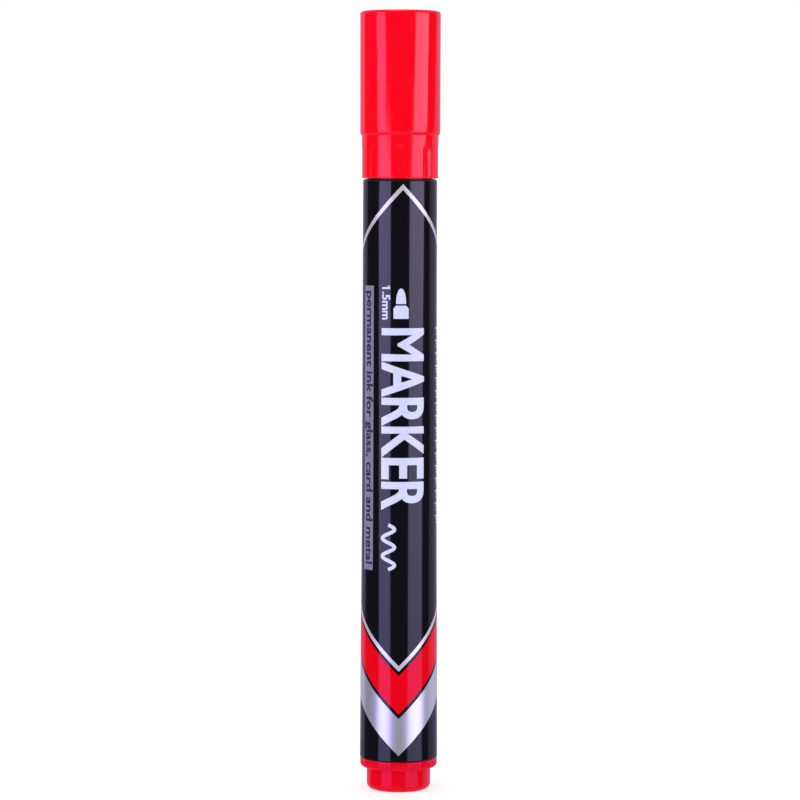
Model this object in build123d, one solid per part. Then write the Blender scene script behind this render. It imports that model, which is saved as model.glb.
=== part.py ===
from build123d import *

import os
from math import sqrt

# Bullet-tip permanent marker, cap on, standing on its end plug.
# Frame: millimetres. The origin is the centre of the end plug's flat end face, +Z runs along the
# barrel towards the cap, and -Y points to the front of the printed barrel.

OVERALL_LENGTH = 136.0

# Fits: radii that meet face to face are shared, and moving ones get a running clearance
PRESS_RADIUS = 5.6  # barrel bore, end plug insert and nib holder insert
INSERT_LEAD = 0.35  # chamfer that starts each insert in the bore
SEAT_RADIUS = 5.6  # where the cap sits on the nib holder, and on the end plug when posted
SEAT_CLEARANCE = 0.09
NIB_RADIUS = 2.0  # also the bore that grips it

# Barrel: a tube that widens towards its rear end
BARREL_REAR_Z = 5.6
BARREL_FRONT_Z = 106.95
BARREL_REAR_RADIUS = 6.81
BARREL_WAIST_Z = 50.0  # below here the taper is steeper
BARREL_WAIST_RADIUS = 6.55
BARREL_FRONT_RADIUS = 6.43
BARREL_FRONT_ROUND = 0.3
BARREL_REAR_ROUND = 0.25

# End plug: stub that the cap can be posted on, ribbed flange, hollow insert
STUB_RADIUS = SEAT_RADIUS
STUB_ROUND = 1.05
STUB_TOP_Z = 3.85
FLANGE_RADIUS = 6.74
FLANGE_LOW_Z = 4.05  # the underside slopes from here down to the stub
FLANGE_ROUND = 0.6
FLANGE_TOP_ROUND = 0.15
RIB_COUNT = 60
RIB_GROOVE_RADIUS = 0.25
RIB_GROOVE_DEPTH = 0.2
RIB_TOP_Z = 5.28
PLUG_INSERT_TOP_Z = 14.0
PLUG_WALL = 1.1
PLUG_FLOOR = 1.3
PROP_THICKNESS = 0.9
RESERVOIR_REAR_Z = 16.0

# Nib holder: insert, flange on the barrel's rim, cap seat, cone and nib tube
HOLDER_REAR_Z = 96.5
HOLDER_FLANGE_RADIUS = 6.0
HOLDER_FLANGE_THICKNESS = 0.1
SEAT_TOP_Z = 116.4
SEAT_BEAD_Z = 110.6
SEAT_BEAD_HEIGHT = 0.05
SEAT_BEAD_HALF_LENGTH = 0.45
SHOULDER_RADIUS = 5.15
SHOULDER_Z = 116.9
TUBE_RADIUS = 3.2
TUBE_REAR_Z = 120.2
TUBE_FRONT_Z = 125.8
TUBE_FRONT_RADIUS = 2.7
TUBE_CHAMFER = 0.6
TUBE_FOOT_ROUND = 1.0
HOLDER_BORE_RADIUS = 4.6
HOLDER_BORE_TOP_Z = 111.0
HOLDER_BORE_CONE = 2.2
VENT_COUNT = 4
VENT_WIDTH = 0.7
VENT_DEPTH = 0.45

# Nib: rod that reaches into the reservoir, with a bullet end for a 1.5 mm line
NIB_REAR_Z = 84.0
NIB_REAR_POINT = 1.6
NIB_TIP_Z = 129.4
NIB_TIP_RADIUS = 0.75
BULLET_LENGTH = 3.3

# Ink reservoir: fibre core in a film sleeve
CORE_RADIUS = 5.25
FILM_THICKNESS = 0.1

# Cap shell
CAP_MOUTH_Z = 107.1
COLLAR_RADIUS = 6.67
COLLAR_TOP_Z = 114.55
CAP_STEP_HEIGHT = 0.3
CAP_LOW_RADIUS = 6.96
CAP_TOP_RADIUS = 7.0
CAP_TOP_ROUND = 0.5
CAP_MOUTH_ROUND = 0.28
CAP_STEP_ROUND = 0.85
CAP_ROOF = 1.2
SEAT_BORE_TOP_Z = 117.4
CAP_BORE_RADIUS = 5.9
FLUTE_COUNT = 8
FLUTE_RADIUS = 2.8
FLUTE_DEPTH = 0.2
FLUTE_TOP_Z = 112.9
FLUTE_EDGE_ROUND = 0.8
LINER_RIB_COUNT = 6
LINER_RIB_THICKNESS = 0.9
LINER_RIB_LOW_Z = 121.5

# Cap liner: inner cup that closes over the nib
LINER_RADIUS = 4.6
LINER_LOW_Z = 120.6
LINER_BORE_RADIUS = 3.4
LINER_LIP_RADIUS = 3.28
LINER_LIP_HEIGHT = 1.6
LINER_ROOF = 0.7

TOLERANCE = 1e-3
BEYOND = 1.0  # how far a cutting tool runs past what it cuts


def turned(*points):
    """Solid of revolution about Z whose outline joins these (radius, height) points."""
    outline = Polyline(*[(radius, 0, height) for radius, height in points], close=True)
    return revolve(make_face(outline.edges()), Axis.Z)


def ring_edges(solid, radius, height):
    """The solid's circular edges of that radius, centred on Z at that height."""

    def fits(edge):
        return (
            edge.geom_type == GeomType.CIRCLE
            and abs(edge.radius - radius) < TOLERANCE
            and abs(edge.arc_center.Z - height) < TOLERANCE
        )

    return solid.edges().filter_by(fits)


def around(count, shape):
    """That many copies of a shape, evenly spaced about Z."""
    return [Rot(0, 0, 360 / count * turn) * shape for turn in range(count)]


def tube(outer, inner, low, high):
    """Plain tube about Z between two heights."""
    return turned((inner, low), (outer, low), (outer, high), (inner, high))


def build_barrel():
    """Tube with a slight taper, steeper towards its rear, both rims rounded, open at both ends."""
    solid = turned(
        (PRESS_RADIUS, BARREL_REAR_Z),
        (BARREL_REAR_RADIUS, BARREL_REAR_Z),
        (BARREL_WAIST_RADIUS, BARREL_WAIST_Z),
        (BARREL_FRONT_RADIUS, BARREL_FRONT_Z),
        (PRESS_RADIUS, BARREL_FRONT_Z),
    )
    solid = fillet(ring_edges(solid, BARREL_FRONT_RADIUS, BARREL_FRONT_Z), BARREL_FRONT_ROUND)
    return fillet(ring_edges(solid, BARREL_REAR_RADIUS, BARREL_REAR_Z), BARREL_REAR_ROUND)


def build_end_plug():
    """Closed stub, flange with fine ribs, and a hollow insert with a cross that props the reservoir."""
    bore = PRESS_RADIUS - PLUG_WALL
    solid = turned(
        (0, 0),
        (STUB_RADIUS, 0),
        (STUB_RADIUS, STUB_TOP_Z),
        (FLANGE_RADIUS, FLANGE_LOW_Z),
        (FLANGE_RADIUS, BARREL_REAR_Z),
        (PRESS_RADIUS, BARREL_REAR_Z),
        (PRESS_RADIUS, PLUG_INSERT_TOP_Z - INSERT_LEAD),
        (PRESS_RADIUS - INSERT_LEAD, PLUG_INSERT_TOP_Z),
        (bore, PLUG_INSERT_TOP_Z),
        (bore, PLUG_FLOOR),
        (0, PLUG_FLOOR),
    )
    solid = fillet(ring_edges(solid, STUB_RADIUS, 0), STUB_ROUND)
    solid = fillet(ring_edges(solid, FLANGE_RADIUS, FLANGE_LOW_Z), FLANGE_ROUND)
    solid = fillet(ring_edges(solid, FLANGE_RADIUS, BARREL_REAR_Z), FLANGE_TOP_ROUND)
    groove_length = RIB_TOP_Z - STUB_TOP_Z
    groove_reach = FLANGE_RADIUS - RIB_GROOVE_DEPTH + RIB_GROOVE_RADIUS
    groove_middle = Pos(groove_reach, 0, RIB_TOP_Z - groove_length / 2)
    groove = groove_middle * Cylinder(RIB_GROOVE_RADIUS, groove_length)
    solid -= around(RIB_COUNT, groove)
    prop_height = RESERVOIR_REAR_Z - PLUG_FLOOR
    prop_length = 2 * PRESS_RADIUS - PLUG_WALL  # ends half way into the insert's wall
    prop = Pos(0, 0, PLUG_FLOOR + prop_height / 2) * Box(prop_length, PROP_THICKNESS, prop_height)
    return solid + prop + Rot(0, 0, 90) * prop


def build_nib_holder():
    """Front section: pressed into the barrel, seats the cap, and grips the nib."""
    flange_top = BARREL_FRONT_Z + HOLDER_FLANGE_THICKNESS
    bead_low = SEAT_BEAD_Z - SEAT_BEAD_HALF_LENGTH
    bead_high = SEAT_BEAD_Z + SEAT_BEAD_HALF_LENGTH
    solid = turned(
        (HOLDER_BORE_RADIUS, HOLDER_REAR_Z),
        (PRESS_RADIUS - INSERT_LEAD, HOLDER_REAR_Z),
        (PRESS_RADIUS, HOLDER_REAR_Z + INSERT_LEAD),
        (PRESS_RADIUS, BARREL_FRONT_Z),
        (HOLDER_FLANGE_RADIUS, BARREL_FRONT_Z),
        (HOLDER_FLANGE_RADIUS, flange_top),
        (SEAT_RADIUS, flange_top),
        (SEAT_RADIUS, bead_low),
        (SEAT_RADIUS + SEAT_BEAD_HEIGHT, SEAT_BEAD_Z),
        (SEAT_RADIUS, bead_high),
        (SEAT_RADIUS, SEAT_TOP_Z),
        (SHOULDER_RADIUS, SHOULDER_Z),
        (TUBE_RADIUS, TUBE_REAR_Z),
        (TUBE_RADIUS, TUBE_FRONT_Z - TUBE_CHAMFER),
        (TUBE_FRONT_RADIUS, TUBE_FRONT_Z),
        (NIB_RADIUS, TUBE_FRONT_Z),
        (NIB_RADIUS, HOLDER_BORE_TOP_Z + HOLDER_BORE_CONE),
        (HOLDER_BORE_RADIUS, HOLDER_BORE_TOP_Z),
    )
    solid = fillet(ring_edges(solid, TUBE_RADIUS, TUBE_REAR_Z), TUBE_FOOT_ROUND)
    vent_length = TUBE_FRONT_Z - HOLDER_BORE_TOP_Z + 2 * BEYOND
    vent = Pos(NIB_RADIUS, 0, HOLDER_BORE_TOP_Z - BEYOND + vent_length / 2) * Box(
        2 * VENT_DEPTH, VENT_WIDTH, vent_length
    )
    return solid - around(VENT_COUNT, vent)


def build_nib():
    """Fibre rod with a blunt rear point and a rounded bullet tip."""
    tip = (0, 0, NIB_TIP_Z)
    tip_centre_z = NIB_TIP_Z - NIB_TIP_RADIUS
    foot = (NIB_RADIUS, 0, NIB_TIP_Z - BULLET_LENGTH)
    rise = BULLET_LENGTH - NIB_TIP_RADIUS
    bullet_radius = (NIB_RADIUS**2 + rise**2 - NIB_TIP_RADIUS**2) / (2 * (NIB_RADIUS - NIB_TIP_RADIUS))
    between_centres = bullet_radius - NIB_TIP_RADIUS
    blend_radius = NIB_TIP_RADIUS * (bullet_radius - NIB_RADIUS) / between_centres
    blend = (blend_radius, 0, tip_centre_z + NIB_TIP_RADIUS * rise / between_centres)
    outline = [
        Line((0, 0, NIB_REAR_Z), (NIB_RADIUS / 2, 0, NIB_REAR_Z)),
        Line((NIB_RADIUS / 2, 0, NIB_REAR_Z), (NIB_RADIUS, 0, NIB_REAR_Z + NIB_REAR_POINT)),
        Line((NIB_RADIUS, 0, NIB_REAR_Z + NIB_REAR_POINT), foot),
        TangentArc(foot, blend, tangent=(0, 0, 1)),
        TangentArc(tip, blend, tangent=(1, 0, 0)),
        Line(tip, (0, 0, NIB_REAR_Z)),
    ]
    return revolve(make_face(outline), Axis.Z)


def build_reservoir_core():
    """Fibre rod that holds the ink, with the pocket that the nib's rear end fills."""
    return turned(
        (0, RESERVOIR_REAR_Z),
        (CORE_RADIUS, RESERVOIR_REAR_Z),
        (CORE_RADIUS, HOLDER_REAR_Z),
        (NIB_RADIUS, HOLDER_REAR_Z),
        (NIB_RADIUS, NIB_REAR_Z + NIB_REAR_POINT),
        (NIB_RADIUS / 2, NIB_REAR_Z),
        (0, NIB_REAR_Z),
    )


def build_reservoir_film():
    """Thin sleeve round the reservoir's fibre."""
    return tube(CORE_RADIUS + FILM_THICKNESS, CORE_RADIUS, RESERVOIR_REAR_Z, HOLDER_REAR_Z)


def flute_cutter():
    """Upright rod with a ball end, so that a flute fades out at its top."""
    centre_y = -(COLLAR_RADIUS - FLUTE_DEPTH + FLUTE_RADIUS)
    run_out = sqrt(FLUTE_RADIUS**2 - (FLUTE_RADIUS - FLUTE_DEPTH) ** 2)
    ball_z = FLUTE_TOP_Z - run_out
    low_z = CAP_MOUTH_Z - BEYOND
    rod = Pos(0, centre_y, (low_z + ball_z) / 2) * Cylinder(FLUTE_RADIUS, ball_z - low_z)
    return rod + Pos(0, centre_y, ball_z) * Sphere(FLUTE_RADIUS)


def is_flute_edge(edge):
    """True for an edge along a flute's side or top: it rises from the mouth, and ends on the collar."""
    top_z = edge.bounding_box().max.Z
    return CAP_MOUTH_Z + TOLERANCE < top_z < COLLAR_TOP_Z - TOLERANCE


def is_mouth_edge(edge):
    """True for an edge of the outer rim of the cap's mouth."""
    middle = edge @ 0.5
    outside = middle.X**2 + middle.Y**2 > (COLLAR_RADIUS - 2 * FLUTE_DEPTH) ** 2
    return outside and edge.bounding_box().max.Z < CAP_MOUTH_Z + TOLERANCE


def build_cap_shell():
    """Outer cap: fluted collar, step, upper body, and ribs inside that grip the liner."""
    roof_z = OVERALL_LENGTH - CAP_ROOF
    seat_bore = SEAT_RADIUS + SEAT_CLEARANCE
    step_top = COLLAR_TOP_Z + CAP_STEP_HEIGHT
    bore_lead = CAP_BORE_RADIUS - seat_bore
    solid = turned(
        (0, OVERALL_LENGTH),
        (0, roof_z),
        (CAP_BORE_RADIUS, roof_z),
        (CAP_BORE_RADIUS, SEAT_BORE_TOP_Z + bore_lead),
        (seat_bore, SEAT_BORE_TOP_Z),
        (seat_bore, CAP_MOUTH_Z),
        (COLLAR_RADIUS, CAP_MOUTH_Z),
        (COLLAR_RADIUS, COLLAR_TOP_Z),
        (CAP_LOW_RADIUS, step_top),
        (CAP_TOP_RADIUS, OVERALL_LENGTH),
    )
    solid = fillet(ring_edges(solid, CAP_TOP_RADIUS, OVERALL_LENGTH), CAP_TOP_ROUND)
    solid = fillet(ring_edges(solid, CAP_LOW_RADIUS, step_top), CAP_STEP_ROUND)
    solid -= around(FLUTE_COUNT, flute_cutter())
    solid = fillet(solid.edges().filter_by(is_flute_edge), FLUTE_EDGE_ROUND)
    solid = fillet(solid.edges().filter_by(is_mouth_edge), CAP_MOUTH_ROUND)
    rib_height = roof_z - LINER_RIB_LOW_Z
    rib_middle = Pos(0, 0, LINER_RIB_LOW_Z + rib_height / 2)
    rib_reach = (CAP_BORE_RADIUS + CAP_LOW_RADIUS) / 2  # ends half way into the shell's wall
    rib = Pos(rib_reach / 2, 0, 0) * Box(rib_reach, LINER_RIB_THICKNESS, rib_height)
    ribs = Part() + around(LINER_RIB_COUNT, rib) - Cylinder(LINER_RADIUS, rib_height)
    return solid + rib_middle * ribs


def build_cap_liner():
    """Inner cup: its lip closes on the nib tube, so that the nib doesn't dry out."""
    roof_z = OVERALL_LENGTH - CAP_ROOF
    lip_top = LINER_LOW_Z + LINER_LIP_HEIGHT
    lip_step = LINER_BORE_RADIUS - LINER_LIP_RADIUS
    return turned(
        (0, roof_z),
        (0, roof_z - LINER_ROOF),
        (LINER_BORE_RADIUS, roof_z - LINER_ROOF),
        (LINER_BORE_RADIUS, lip_top + lip_step),
        (LINER_LIP_RADIUS, lip_top),
        (LINER_LIP_RADIUS, LINER_LOW_Z + lip_step),
        (LINER_BORE_RADIUS, LINER_LOW_Z),
        (LINER_RADIUS, LINER_LOW_Z),
        (LINER_RADIUS, roof_z),
    )


NODES = {
    "barrel": build_barrel,
    "end_plug": build_end_plug,
    "nib_holder": build_nib_holder,
    "nib": build_nib,
    "reservoir_core": build_reservoir_core,
    "reservoir_film": build_reservoir_film,
    "cap_shell": build_cap_shell,
    "cap_liner": build_cap_liner,
}

os.makedirs("parts", exist_ok=True)
for node, build in NODES.items():
    export_step(build(), f"parts/{node}.step")
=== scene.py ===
import math

import bmesh
import bpy
from mathutils import Euler, Matrix, Vector


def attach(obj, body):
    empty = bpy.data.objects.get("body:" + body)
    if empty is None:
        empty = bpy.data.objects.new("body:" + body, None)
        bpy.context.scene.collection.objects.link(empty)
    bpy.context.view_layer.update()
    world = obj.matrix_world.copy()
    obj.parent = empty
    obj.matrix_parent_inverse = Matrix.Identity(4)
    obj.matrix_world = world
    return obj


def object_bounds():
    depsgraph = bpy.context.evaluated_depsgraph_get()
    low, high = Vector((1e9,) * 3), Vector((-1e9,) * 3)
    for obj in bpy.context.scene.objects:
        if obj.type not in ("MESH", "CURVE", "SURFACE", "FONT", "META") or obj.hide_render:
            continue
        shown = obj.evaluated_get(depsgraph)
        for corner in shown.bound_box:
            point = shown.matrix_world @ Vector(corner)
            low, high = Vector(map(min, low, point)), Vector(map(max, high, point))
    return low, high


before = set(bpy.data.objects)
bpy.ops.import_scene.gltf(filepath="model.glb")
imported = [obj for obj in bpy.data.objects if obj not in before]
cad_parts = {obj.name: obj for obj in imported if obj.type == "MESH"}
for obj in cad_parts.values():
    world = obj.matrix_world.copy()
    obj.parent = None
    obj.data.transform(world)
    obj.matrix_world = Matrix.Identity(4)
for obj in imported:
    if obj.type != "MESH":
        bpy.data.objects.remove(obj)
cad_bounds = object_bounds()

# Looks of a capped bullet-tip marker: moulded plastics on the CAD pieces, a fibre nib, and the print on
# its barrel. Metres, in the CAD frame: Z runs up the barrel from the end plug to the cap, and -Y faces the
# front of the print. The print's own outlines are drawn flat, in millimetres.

MM = 0.001

# Noise patterns stay mostly between these two values, so materials spread that stretch over their range
PATTERN_LOW, PATTERN_HIGH = 0.3, 0.7

# Depth of the orange peel on polished mouldings and on plain ones
SMOOTH_PEEL = 0.002 * MM
ROUGH_PEEL = 0.004 * MM

# Print: a thin closed shell that stands proud of the barrel by PRINT_LIFT and starts inside its wall
PRINT_LIFT = 0.015 * MM
PRINT_SINK = -0.03 * MM
STRIP_LIFT = 0.022 * MM  # print on top of the strip
RING_DIGITS = 7  # decimals of a metre that tell the barrel's rings apart
PRINT_SLICE = 0.25 * MM  # widest strip of print before it is bent round the barrel
GLYPH_MERGE = 0.004  # nearest that two corners of a letter may be, for letters of height 1
GLYPH_STEPS = 6  # segments in each curved stretch of a letter
MITRE_LIMIT = 0.5  # keeps the sharp corners of bold letters short
CHEVRON_STEPS = 240
CHEVRON_SLOPE = 1.05  # rise up the barrel for each unit round it
ARCH_SLOPE = -1.06
ARCH_TURN = math.radians(4.7)

# Studio, in metres
PANEL_DISTANCE = 0.9
BACKDROP_DISTANCE = 1.2
PANEL_LOW, PANEL_HIGH = -0.16, 0.16  # heights between which a panel's colour changes
PANEL_COLUMNS = 12


def in_scene(obj):
    """Links an object to the scene and gives it back."""
    bpy.context.scene.collection.objects.link(obj)
    return obj


# ---------------------------------------------------------------- materials


class Recipe:
    """A material's nodes, with short calls for the ones that the recipes below share."""

    def __init__(self, name, **sockets):
        self.material = bpy.data.materials.new(name)
        self.material.use_nodes = True
        self.tree = self.material.node_tree
        self.shader = self.tree.nodes["Principled BSDF"]
        for socket, value in sockets.items():
            self.shader.inputs[socket.replace("_", " ")].default_value = value
        self.place = self.node("ShaderNodeTexCoord").outputs["Object"]

    def node(self, kind, **settings):
        made = self.tree.nodes.new(kind)
        for key, value in settings.items():
            setattr(made, key, value)
        return made

    def join(self, source, target):
        self.tree.links.new(source, target)

    def noise(self, scale, detail, stretch=(1, 1, 1)):
        """Noise from 0 to 1 in object space. scale is in features per metre."""
        mapping = self.node("ShaderNodeMapping")
        mapping.inputs["Scale"].default_value = stretch
        self.join(self.place, mapping.inputs["Vector"])
        noise = self.node("ShaderNodeTexNoise")
        noise.inputs["Scale"].default_value = scale
        noise.inputs["Detail"].default_value = detail
        self.join(mapping.outputs["Vector"], noise.inputs["Vector"])
        return noise.outputs["Fac"]

    def spread(self, pattern, low, high):
        """Maps the stretch that most of a pattern lies in onto low to high."""
        remap = self.node("ShaderNodeMapRange")
        remap.inputs["From Min"].default_value = PATTERN_LOW
        remap.inputs["From Max"].default_value = PATTERN_HIGH
        remap.inputs["To Min"].default_value = low
        remap.inputs["To Max"].default_value = high
        self.join(pattern, remap.inputs["Value"])
        return remap.outputs["Result"]

    def colour(self, pattern, light, dark):
        """Colours the surface from light to dark as the pattern rises."""
        mix = self.node("ShaderNodeMix", data_type="RGBA")
        mix.inputs["A"].default_value = (*light, 1)
        mix.inputs["B"].default_value = (*dark, 1)
        self.join(self.spread(pattern, 0, 1), mix.inputs["Factor"])
        self.join(mix.outputs["Result"], self.shader.inputs["Base Color"])

    def roughness(self, pattern, low, high):
        self.join(self.spread(pattern, low, high), self.shader.inputs["Roughness"])

    def bump(self, pattern, depth):
        """Bump of that depth in metres."""
        bump = self.node("ShaderNodeBump")
        bump.inputs["Strength"].default_value = 1
        bump.inputs["Distance"].default_value = depth
        self.join(pattern, bump.inputs["Height"])
        self.join(bump.outputs["Normal"], self.shader.inputs["Normal"])


def moulded_plastic(name, light, dark, roughness, orange_peel, gloss_tint=(1, 1, 1)):
    """Injection-moulded plastic: faint clouds of colour, uneven gloss, and a slight orange peel."""
    recipe = Recipe(name, IOR=1.49, Specular_Tint=(*gloss_tint, 1))
    recipe.colour(recipe.noise(scale=90, detail=4), light, dark)
    recipe.roughness(recipe.noise(scale=600, detail=5), *roughness)
    recipe.bump(recipe.noise(scale=260, detail=2, stretch=(1, 1, 0.5)), depth=orange_peel)
    return recipe.material


def ink(name, light, dark, roughness, gloss_tint=(1, 1, 1)):
    """Printed ink under a clear varnish, a little uneven in its cover."""
    recipe = Recipe(name, IOR=1.45, Specular_Tint=(*gloss_tint, 1))
    recipe.colour(recipe.noise(scale=1500, detail=6), light, dark)
    recipe.roughness(recipe.noise(scale=900, detail=4), *roughness)
    recipe.bump(recipe.noise(scale=2500, detail=3), depth=0.001 * MM)
    return recipe.material


def metallic_ink(name, light, dark, roughness, metallic):
    """Silver ink: fine flakes that scatter the light more than a mirror does."""
    recipe = Recipe(name, Metallic=metallic, IOR=1.45)
    recipe.colour(recipe.noise(scale=4000, detail=4), light, dark)
    recipe.roughness(recipe.noise(scale=3000, detail=5), *roughness)
    recipe.bump(recipe.noise(scale=6000, detail=3), depth=0.0006 * MM)
    return recipe.material


def fibre(name, light, dark, roughness):
    """Bonded fibres that run along the marker."""
    recipe = Recipe(name, Roughness=roughness)
    grain = recipe.noise(scale=5000, detail=6, stretch=(1, 1, 0.04))
    recipe.colour(grain, light, dark)
    recipe.bump(grain, depth=0.03 * MM)
    return recipe.material


def film():
    """Thin sleeve round the ink's fibre, with faint streaks along it."""
    recipe = Recipe("clear_film", IOR=1.5)
    streaks = recipe.noise(scale=300, detail=3, stretch=(1, 1, 0.1))
    recipe.colour(streaks, light=(0.82, 0.80, 0.80), dark=(0.70, 0.60, 0.62))
    recipe.roughness(recipe.noise(scale=700, detail=3), low=0.2, high=0.35)
    return recipe.material


def paint(node, material):
    """Gives a CAD node its material."""
    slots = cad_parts[node].data.materials
    slots.clear()
    slots.append(material)


black_plastic = moulded_plastic(
    "black_plastic",
    light=(0.0050, 0.0043, 0.0068),
    dark=(0.0034, 0.0030, 0.0050),
    roughness=(0.07, 0.11),
    orange_peel=SMOOTH_PEEL,
)
red_plastic = moulded_plastic(
    "red_plastic",
    light=(0.95, 0.0, 0.012),
    dark=(0.90, 0.0, 0.010),
    roughness=(0.06, 0.11),
    orange_peel=SMOOTH_PEEL,
    gloss_tint=(1, 0.75, 0.80),
)
# The cap's red plastic with a darker colour: painted shade for the dimmer light on the plug low down by the
# floor
painted_shade_red_plastic = moulded_plastic(
    "painted_shade_red_plastic",
    light=(0.83, 0.0, 0.010),
    dark=(0.78, 0.0, 0.008),
    roughness=(0.08, 0.13),
    orange_peel=SMOOTH_PEEL,
    gloss_tint=(1, 0.45, 0.95),
)
holder_plastic = moulded_plastic(
    "holder_plastic",
    light=(0.010, 0.009, 0.012),
    dark=(0.007, 0.006, 0.009),
    roughness=(0.20, 0.28),
    orange_peel=ROUGH_PEEL,
)
white_plastic = moulded_plastic(
    "white_plastic",
    light=(0.82, 0.82, 0.79),
    dark=(0.76, 0.76, 0.73),
    roughness=(0.30, 0.42),
    orange_peel=ROUGH_PEEL,
)
nib_fibre = fibre("nib_fibre", light=(0.42, 0.012, 0.015), dark=(0.24, 0.006, 0.010), roughness=0.75)
core_fibre = fibre("core_fibre", light=(0.50, 0.03, 0.035), dark=(0.32, 0.015, 0.02), roughness=0.85)
red_ink = ink(
    "red_ink",
    light=(0.80, 0.0, 0.006),
    dark=(0.75, 0.0, 0.005),
    roughness=(0.08, 0.13),
    gloss_tint=(1, 0.4, 0.85),
)
lilac_ink = ink("lilac_ink", light=(0.66, 0.67, 0.95), dark=(0.61, 0.62, 0.92), roughness=(0.22, 0.32))
strip_ink = ink("strip_ink", light=(0.23, 0.205, 0.33), dark=(0.20, 0.18, 0.30), roughness=(0.16, 0.24))
dark_ink = ink("dark_ink", light=(0.035, 0.022, 0.085), dark=(0.028, 0.018, 0.07), roughness=(0.16, 0.24))
silver_ink = metallic_ink(
    "silver_ink",
    light=(0.95, 0.94, 1.0),
    dark=(0.91, 0.90, 0.99),
    roughness=(0.31, 0.34),
    metallic=0.85,
)
fine_silver_ink = metallic_ink(
    "fine_silver_ink",
    light=(0.98, 0.95, 0.98),
    dark=(0.95, 0.92, 0.96),
    roughness=(0.40, 0.43),
    metallic=0.72,
)

for node_name, material in {
    "barrel": black_plastic,
    "end_plug": painted_shade_red_plastic,
    "cap_shell": red_plastic,
    "cap_liner": white_plastic,
    "nib_holder": holder_plastic,
    "nib": nib_fibre,
    "reservoir_core": core_fibre,
    "reservoir_film": film(),
}.items():
    paint(node_name, material)


# ---------------------------------------------------------------- print on the barrel


def barrel_stations():
    """Heights and outer radii of the CAD barrel's rings, upwards."""
    outer = {}
    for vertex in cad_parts["barrel"].data.vertices:
        height = round(vertex.co.z, RING_DIGITS)
        outer[height] = max(outer.get(height, 0), math.hypot(vertex.co.x, vertex.co.y))
    return sorted(outer.items())


STATIONS = barrel_stations()
PRINT_RADIUS = sum(radius for _, radius in STATIONS) / len(STATIONS)  # turns a width of print into an angle


def barrel_radius(height):
    """Outer radius of the barrel at that height."""
    for (low, low_radius), (high, high_radius) in zip(STATIONS, STATIONS[1:]):
        if low <= height <= high:
            return low_radius + (high_radius - low_radius) * (height - low) / (high - low)
    raise ValueError(f"the barrel doesn't reach {height}")


def on_barrel(angle, height, lift):
    """Point on the barrel, at an angle from its front towards +X."""
    radius = barrel_radius(height) + lift
    return radius * math.sin(angle), -radius * math.cos(angle), height


def printed_piece(name, points, top_faces, other_faces, material):
    """A piece of print whose top shades as the barrel's round wall does. Its other faces are flat."""
    mesh = bpy.data.meshes.new(name)
    mesh.from_pydata(points, [], top_faces + other_faces)
    mesh.materials.append(material)
    normals = []
    for face in mesh.polygons:
        if face.index < len(top_faces):
            corners = [points[corner] for corner in face.vertices]
            normals += [Vector((x, y, 0)).normalized() for x, y, _ in corners]
        else:
            normals += [face.normal] * len(face.vertices)
    mesh.normals_split_custom_set(normals)
    piece = in_scene(bpy.data.objects.new(name, mesh))
    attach(piece, "barrel")


def chevron(name, low_tip, high_tip, slope, turn, material):
    """Prints a zigzag band right round the barrel, with a tip at the front and one at the back."""
    section = (
        (low_tip, PRINT_LIFT), (high_tip, PRINT_LIFT), (high_tip, PRINT_SINK), (low_tip, PRINT_SINK)
    )
    corners = len(section)
    points, top_faces, other_faces = [], [], []
    for step in range(CHEVRON_STEPS):
        angle = 2 * math.pi * step / CHEVRON_STEPS
        from_tip = abs((angle + math.pi / 2) % math.pi - math.pi / 2)
        rise = slope * from_tip * PRINT_RADIUS
        points += [on_barrel(angle + turn, height + rise, lift) for height, lift in section]
        here, there = corners * step, corners * ((step + 1) % CHEVRON_STEPS)
        top, *others = [
            (here + corner, there + corner, there + (corner + 1) % corners, here + (corner + 1) % corners)
            for corner in range(corners)
        ]
        top_faces.append(top)
        other_faces += others
    printed_piece(name, points, top_faces, other_faces, material)


def cut_across(flat, place, direction):
    """Cuts a flat bmesh along the line through place that is square to direction."""
    geometry = flat.verts[:] + flat.edges[:] + flat.faces[:]
    bmesh.ops.bisect_plane(flat, geom=geometry, plane_co=place, plane_no=direction)


def wrapped(name, flat, material, top_lift=PRINT_LIFT):
    """Prints a flat bmesh round the barrel as a thin shell: its x goes round from the front, its y up."""
    across = [vertex.co.x for vertex in flat.verts]
    for cut in range(math.ceil(min(across) / PRINT_SLICE), math.ceil(max(across) / PRINT_SLICE)):
        cut_across(flat, (cut * PRINT_SLICE, 0, 0), (1, 0, 0))
    for height, _ in STATIONS:
        cut_across(flat, (0, height, 0), (0, 1, 0))
    bmesh.ops.triangulate(flat, faces=flat.faces[:])
    flat.verts.index_update()
    count = len(flat.verts)
    points = [
        on_barrel(vertex.co.x / PRINT_RADIUS, vertex.co.y, lift)
        for lift in (top_lift, PRINT_SINK)
        for vertex in flat.verts
    ]
    top_faces = []
    for face in flat.faces:
        corners = [vertex.index for vertex in face.verts]
        top_faces.append(corners if face.normal.z > 0 else corners[::-1])
    edges = dict.fromkeys(edge for corners in top_faces for edge in zip(corners, corners[1:] + corners[:1]))
    underside = [[corner + count for corner in reversed(corners)] for corners in top_faces]
    rim = [[end, start, start + count, end + count] for start, end in edges if (end, start) not in edges]
    flat.free()
    printed_piece(name, points, top_faces, underside + rim, material)


def outlines(*shapes):
    """Flat bmesh of filled outlines, each a list of (across, up) points in millimetres."""
    flat = bmesh.new()
    for shape in shapes:
        flat.faces.new([flat.verts.new((across * MM, up * MM, 0)) for across, up in shape])
    flat.normal_update()
    return flat


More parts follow.
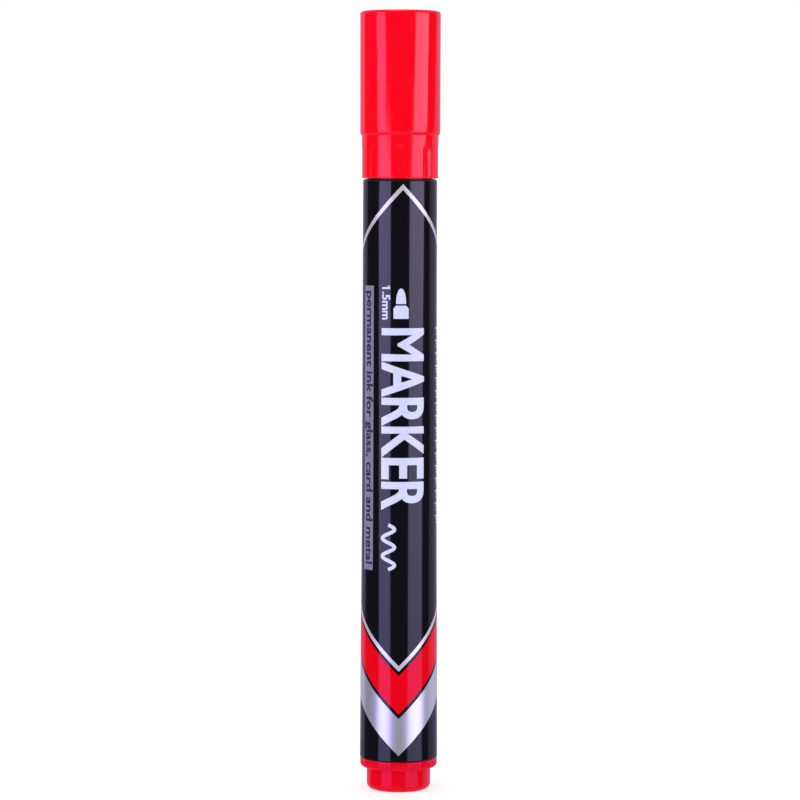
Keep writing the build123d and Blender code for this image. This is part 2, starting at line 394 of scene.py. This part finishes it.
def embolden(flat, amount):
    """Moves the outline of a flat bmesh outwards by that amount, in metres."""
    outwards = {}
    for edge in flat.edges:
        if edge.is_boundary:
            start, end = edge.verts
            across = (end.co - start.co).cross(Vector((0, 0, 1))).normalized()
            inside = edge.link_faces[0].calc_center_median() - start.co
            if across.dot(inside) > 0:
                across.negate()
            for vertex in edge.verts:
                outwards.setdefault(vertex, []).append(across)
    for vertex, normals in outwards.items():
        middle = sum(normals, Vector()).normalized()
        vertex.co += middle * amount / max(middle.dot(normals[0]), MITRE_LIMIT)


def lettering(text, left, right, low, high, boldness):
    """Flat bmesh of text that reads down the barrel, with its letters' feet at the left. In millimetres."""
    curve = bpy.data.curves.new("lettering", "FONT")
    curve.body = text
    curve.resolution_u = GLYPH_STEPS
    writing = in_scene(bpy.data.objects.new("lettering", curve))
    mesh = bpy.data.meshes.new_from_object(writing)
    flat = bmesh.new()
    flat.from_mesh(mesh)
    bmesh.ops.remove_doubles(flat, verts=flat.verts[:], dist=GLYPH_MERGE)
    bpy.data.objects.remove(writing)
    bpy.data.curves.remove(curve)
    bpy.data.meshes.remove(mesh)
    along = [vertex.co.x for vertex in flat.verts]
    tall = [vertex.co.y for vertex in flat.verts]
    along_start, along_reach = min(along), max(along) - min(along)
    tall_start, tall_reach = min(tall), max(tall) - min(tall)
    for vertex in flat.verts:
        reading = (vertex.co.x - along_start) / along_reach
        rising = (vertex.co.y - tall_start) / tall_reach
        vertex.co = ((left + rising * (right - left)) * MM, (high + reading * (low - high)) * MM, 0)
    flat.normal_update()
    embolden(flat, boldness * MM)
    return flat


def stroke(points, width):
    """Outline of a line of that width along these points, in millimetres."""
    left, right = [], []
    for index, (x, y) in enumerate(points):
        before, after = points[max(index - 1, 0)], points[min(index + 1, len(points) - 1)]
        run_x, run_y = after[0] - before[0], after[1] - before[1]
        scale = width / 2 / math.hypot(run_x, run_y)
        left.append((x - run_y * scale, y + run_x * scale))
        right.append((x + run_y * scale, y - run_x * scale))
    return left + right[::-1]


def rounded_box(left, right, low, high, radius):
    """Outline of a box with rounded corners."""
    steps = 5
    corners = (
        (right - radius, high - radius, 0), (left + radius, high - radius, 90),
        (left + radius, low + radius, 180), (right - radius, low + radius, 270),
    )
    return [
        (
            x + radius * math.cos(math.radians(start + 90 * step / steps)),
            y + radius * math.sin(math.radians(start + 90 * step / steps)),
        )
        for x, y, start in corners
        for step in range(steps + 1)
    ]


# Bands, each between two heights at its front tip: silver arch near the cap, then silver line, red band and
# broad silver band at the rear
chevron("print_arch", 105.15 * MM, 106.15 * MM, ARCH_SLOPE, ARCH_TURN, fine_silver_ink)
chevron("print_line", 21.60 * MM, 22.55 * MM, CHEVRON_SLOPE, 0, fine_silver_ink)
chevron("print_red_band", 14.10 * MM, 20.85 * MM, CHEVRON_SLOPE, 0, red_ink)
chevron("print_silver_band", 6.80 * MM, 13.30 * MM, CHEVRON_SLOPE, 0, silver_ink)


def nib_pictogram():
    """Bullet nib over its holder, as the label draws it."""
    middle, half_width = 0.24, 0.88
    foot, tip = 85.50, 88.18
    sharpness, steps = 0.85, 24
    bullet = [(middle - half_width, foot), (middle + half_width, foot)]
    for step in range(1, steps):
        turn = math.pi * step / steps
        rise = (tip - foot) * math.sin(turn) ** sharpness
        bullet.append((middle + half_width * math.cos(turn), foot + rise))
    base, shoulder, top = 82.95, 84.72, 85.22
    base_half, top_half = 1.33, 0.92
    holder = [
        (middle - base_half, base), (middle + base_half, base), (middle + base_half, shoulder),
        (middle + top_half, top), (middle - top_half, top), (middle - base_half, shoulder),
    ]
    return outlines(bullet, holder)


wrapped("print_nib_sign", nib_pictogram(), lilac_ink)
wrapped(
    "print_line_width",
    lettering("1.5mm", left=-3.15, right=-1.75, low=82.85, high=88.35, boldness=0.06),
    lilac_ink,
)
wrapped(
    "print_line_width_flag",  # at the head of the figure 1
    outlines([(-1.69, 88.415), (-1.95, 88.415), (-2.14, 88.70), (-1.92, 88.74)]),
    lilac_ink,
)
wrapped(
    "print_word",
    lettering("MARKER", left=-3.05, right=4.4, low=50.1, high=81.1, boldness=0.22),
    lilac_ink,
)


def sample_stroke():
    """Wavy line, as the marker would draw it."""
    steps, waves = 60, 2.5
    middle, reach, width = -1.9, 1.1, 0.62
    top, bottom = 47.2, 39.4
    points = []
    for step in range(steps + 1):
        across = middle + reach * math.sin(2 * math.pi * waves * step / steps)
        points.append((across, top + (bottom - top) * step / steps))
    return outlines(stroke(points, width))


wrapped("print_sample_stroke", sample_stroke(), lilac_ink)


def small_print():
    """Rows of short bars, one bar a letter, that stand for small print on the barrel's right side."""
    top, bottom = 81.3, 46.0
    rows, first_baseline, row_pitch = 5, 8.75, 1.4
    letter_pitch, bar_width = 0.5475, 0.27
    short_letter, tall_letter, first_letter_drop = 0.68, 0.95, 0.45
    first_row_words = (3,)  # letters in each word, over and over
    other_row_words = (6, 3, 8, 5, 2, 7, 4, 9, 3, 5)
    word_shift = 3  # words that each row starts further on than the one before
    bars = []
    for row in range(rows):
        baseline = first_baseline + row_pitch * row
        words = other_row_words if row else first_row_words
        reading, word = top, word_shift * row
        length = words[word % len(words)]
        while reading - length * letter_pitch > bottom:
            for letter in range(length):
                is_tall = (3 * letter + length) % 4 == 0  # one letter in four, here and there
                foot = baseline - (0 if letter else first_letter_drop)
                head = baseline + (tall_letter if is_tall else short_letter)
                low = reading - bar_width
                bars.append([(foot, low), (head, low), (head, reading), (foot, reading)])
                reading -= letter_pitch
            reading -= letter_pitch
            word += 1
            length = words[word % len(words)]
    return outlines(*bars)


wrapped("print_small_rows", small_print(), lilac_ink)
wrapped(
    "print_strip",
    outlines(rounded_box(left=-7.65, right=-5.02, low=39.1, high=88.6, radius=0.1)),
    strip_ink,
)
strip_sentence = "permanent ink for glass, card and metal"
wrapped(
    "print_strip_text",
    lettering(strip_sentence, left=-7.5, right=-5.15, low=40.2, high=87.6, boldness=0.07),
    dark_ink,
    top_lift=STRIP_LIFT,
)


# ---------------------------------------------------------------- stage, lights and camera


def add_floor():
    """Pale paper that is nearly as bright as the surroundings, so its far edge doesn't show."""
    half, height = 20, -0.02 * MM
    corners = [(-half, -half, height), (half, -half, height), (half, half, height), (-half, half, height)]
    mesh = bpy.data.meshes.new("floor")
    mesh.from_pydata(corners, [], [(0, 1, 2, 3)])
    recipe = Recipe("floor_paper", Roughness=0.9, Emission_Color=(1, 1, 1, 1), Emission_Strength=0.62)
    recipe.colour(recipe.noise(scale=12, detail=3), light=(0.46, 0.46, 0.46), dark=(0.44, 0.44, 0.445))
    mesh.materials.append(recipe.material)
    floor = in_scene(bpy.data.objects.new("floor", mesh))
    floor.visible_glossy = False
    floor.visible_shadow = False


def add_gloss_panel(name, distance, stations, low_radiance, high_radiance):
    """Upright curved panel that shows only in gloss.

    Each station, upwards, is a height, the directions of the panel's two edges in degrees from the
    front towards +X, and a brightness. The colour changes from low to high between two heights.
    """
    points, colours = [], []
    for height, start, end, glow in stations:
        share = min(max((height - PANEL_LOW) / (PANEL_HIGH - PANEL_LOW), 0), 1)
        colour = [glow * (low + (high - low) * share) for low, high in zip(low_radiance, high_radiance)]
        for column in range(PANEL_COLUMNS + 1):
            turn = math.radians(start + (end - start) * column / PANEL_COLUMNS)
            points.append((distance * math.sin(turn), -distance * math.cos(turn), height))
            colours += [*colour, 1]
    row = PANEL_COLUMNS + 1
    faces = [
        (corner, corner + 1, corner + row + 1, corner + row)
        for low in range(0, len(points) - row, row)
        for corner in range(low, low + PANEL_COLUMNS)
    ]
    mesh = bpy.data.meshes.new(name)
    mesh.from_pydata(points, [], faces)
    mesh.attributes.new("glow", "FLOAT_COLOR", "POINT").data.foreach_set("color", colours)
    material = bpy.data.materials.new(name)
    material.use_nodes = True
    tree = material.node_tree
    tree.nodes.clear()
    glow = tree.nodes.new("ShaderNodeAttribute")
    glow.attribute_name = "glow"
    emission = tree.nodes.new("ShaderNodeEmission")
    output = tree.nodes.new("ShaderNodeOutputMaterial")
    tree.links.new(glow.outputs["Color"], emission.inputs["Color"])
    tree.links.new(emission.outputs["Emission"], output.inputs["Surface"])
    mesh.materials.append(material)
    panel = in_scene(bpy.data.objects.new(name, mesh))
    panel.visible_camera = False
    panel.visible_diffuse = False
    panel.visible_shadow = False


def add_soft_light(name, place, size, radiance, colour, gloss):
    """Square area light that points at the middle of the marker, and lights gloss alone or all but gloss."""
    data = bpy.data.lights.new(name, "AREA")
    data.size = size
    data.energy = radiance * size * size * math.pi
    data.color = colour
    light = in_scene(bpy.data.objects.new(name, data))
    light.location = place
    low, high = cad_bounds
    middle = (Vector(low) + Vector(high)) / 2
    light.rotation_euler = (middle - light.location).to_track_quat("-Z", "Y").to_euler()
    light.visible_camera = False
    light.visible_glossy = gloss
    light.visible_diffuse = not gloss


def gloss_surroundings(tree, level, steep):
    """Colour of the surroundings in reflections: level about the horizon, and steep above and below it."""
    steep_below, level_from, level_to, steep_above = -0.50, -0.24, 0.07, 0.16  # sines of the elevation
    direction = tree.nodes.new("ShaderNodeTexCoord")
    split = tree.nodes.new("ShaderNodeSeparateXYZ")
    remap = tree.nodes.new("ShaderNodeMapRange")
    remap.inputs["From Min"].default_value = -1
    ramp = tree.nodes.new("ShaderNodeValToRGB")
    stops = ramp.color_ramp.elements
    for end_stop in stops:
        end_stop.color = (*steep, 1)
    for rise, colour in ((steep_below, steep), (level_from, level), (level_to, level), (steep_above, steep)):
        stops.new((rise + 1) / 2).color = (*colour, 1)
    tree.links.new(direction.outputs["Generated"], split.inputs["Vector"])
    tree.links.new(split.outputs["Z"], remap.inputs["Value"])
    tree.links.new(remap.outputs["Result"], ramp.inputs["Fac"])
    return ramp.outputs["Color"]


def add_world(seen, diffuse, level_gloss, steep_gloss):
    """Surroundings: one colour for the camera, another for their light, and darker ones in reflections."""
    world = bpy.data.worlds.new("studio")
    world.use_nodes = True
    world.cycles.sampling_method = "NONE"
    tree = world.node_tree
    path = tree.nodes.new("ShaderNodeLightPath")
    in_gloss = tree.nodes.new("ShaderNodeMix")
    to_camera = tree.nodes.new("ShaderNodeMix")
    for mix, ray in ((in_gloss, "Is Glossy Ray"), (to_camera, "Is Camera Ray")):
        mix.data_type = "RGBA"
        tree.links.new(path.outputs[ray], mix.inputs["Factor"])
    in_gloss.inputs["A"].default_value = (*diffuse, 1)
    tree.links.new(gloss_surroundings(tree, level_gloss, steep_gloss), in_gloss.inputs["B"])
    tree.links.new(in_gloss.outputs["Result"], to_camera.inputs["A"])
    to_camera.inputs["B"].default_value = (*seen, 1)
    tree.links.new(to_camera.outputs["Result"], tree.nodes["Background"].inputs["Color"])
    bpy.context.scene.world = world


def add_camera():
    """Camera in front of the marker, level with the cap's mouth, that looks slightly down."""
    distance, height, side = 0.5469, 0.107, 0.00009
    pitch, roll = math.radians(4.03), math.radians(0.160)
    data = bpy.data.cameras.new("camera")
    data.sensor_width = 36
    data.lens = 141.1
    data.clip_end = 100
    camera = in_scene(bpy.data.objects.new("camera", data))
    camera.location = (side, -distance, height)
    level = Euler((math.pi / 2 - pitch, 0, 0)).to_matrix()
    camera.rotation_euler = (level @ Matrix.Rotation(roll, 3, "Z")).to_euler()
    bpy.context.scene.camera = camera


# Two tall panels make the marker's long highlights and a dim backdrop its rims. The panels' stations step at
# the heights that are reflected where the flange meets the barrel, at the cap's mouth and at the cap's step.
add_floor()
add_gloss_panel(
    "panel_left",
    PANEL_DISTANCE,
    [
        (-0.60, -64, -24.5, 0.25), (-0.165, -64, -24.5, 0.25), (-0.157, -62, -24, 0.70),
        (-0.11, -62, -26, 0.72), (0.105, -69.5, -29.5, 1.00), (0.108, -65, -27.5, 1.00),
        (0.125, -65, -27.5, 1.00), (0.127, -70, -42, 0.90), (0.16, -69.5, -41.5, 0.90),
        (0.178, -72, -45, 0.90), (0.205, -72, -45, 0.90), (0.225, -72, -45, 0.10),
    ],
    low_radiance=(1.80, 1.80, 3.80),
    high_radiance=(2.40, 2.0, 4.0),
)
add_gloss_panel(
    "panel_right",
    PANEL_DISTANCE,
    [
        (-0.60, 26, 73, 0.25), (-0.165, 26, 73, 0.25), (-0.157, 26, 73, 0.60), (-0.11, 27, 73, 0.62),
        (0.04, 29.5, 76.5, 0.86), (0.105, 30, 81.5, 1.00), (0.108, 35.5, 78, 1.02), (0.125, 35.5, 78, 1.05),
        (0.127, 40, 83.5, 1.20), (0.149, 41, 85.5, 1.20), (0.178, 45, 88.5, 1.20),
        (0.205, 45, 88.5, 1.20), (0.225, 45, 88.5, 0.10),
    ],
    low_radiance=(2.0, 1.95, 3.3),
    high_radiance=(2.85, 2.5, 3.75),
)
add_gloss_panel(
    "backdrop",
    BACKDROP_DISTANCE,
    [
        (-0.60, 98, 238, 1.0), (-0.20, 99, 238, 1.0), (-0.03, 108, 238, 1.0), (0.04, 105, 238, 1.0),
        (0.10, 105, 238, 1.0), (0.117, 111, 238, 1.0), (0.145, 119, 238, 1.2), (0.18, 125, 238, 1.2),
        (0.60, 128, 238, 1.2),
    ],
    low_radiance=(0.36, 0.34, 0.50),
    high_radiance=(0.42, 0.37, 0.54),
)
add_soft_light(
    "overhead", place=(-0.1, -0.05, 0.9), size=0.35, radiance=3.0, colour=(1.0, 1.0, 1.0), gloss=True
)
add_soft_light(
    "key", place=(-0.7, -0.8, 0.9), size=0.7, radiance=1.2, colour=(1.0, 0.98, 1.0), gloss=False
)
add_world(
    seen=(1.0, 1.0, 1.0),
    diffuse=(0.98, 0.98, 0.99),
    level_gloss=(0.045, 0.037, 0.062),
    steep_gloss=(0.32, 0.31, 0.36),
)
add_camera()
bpy.context.scene.view_settings.view_transform = "Standard"
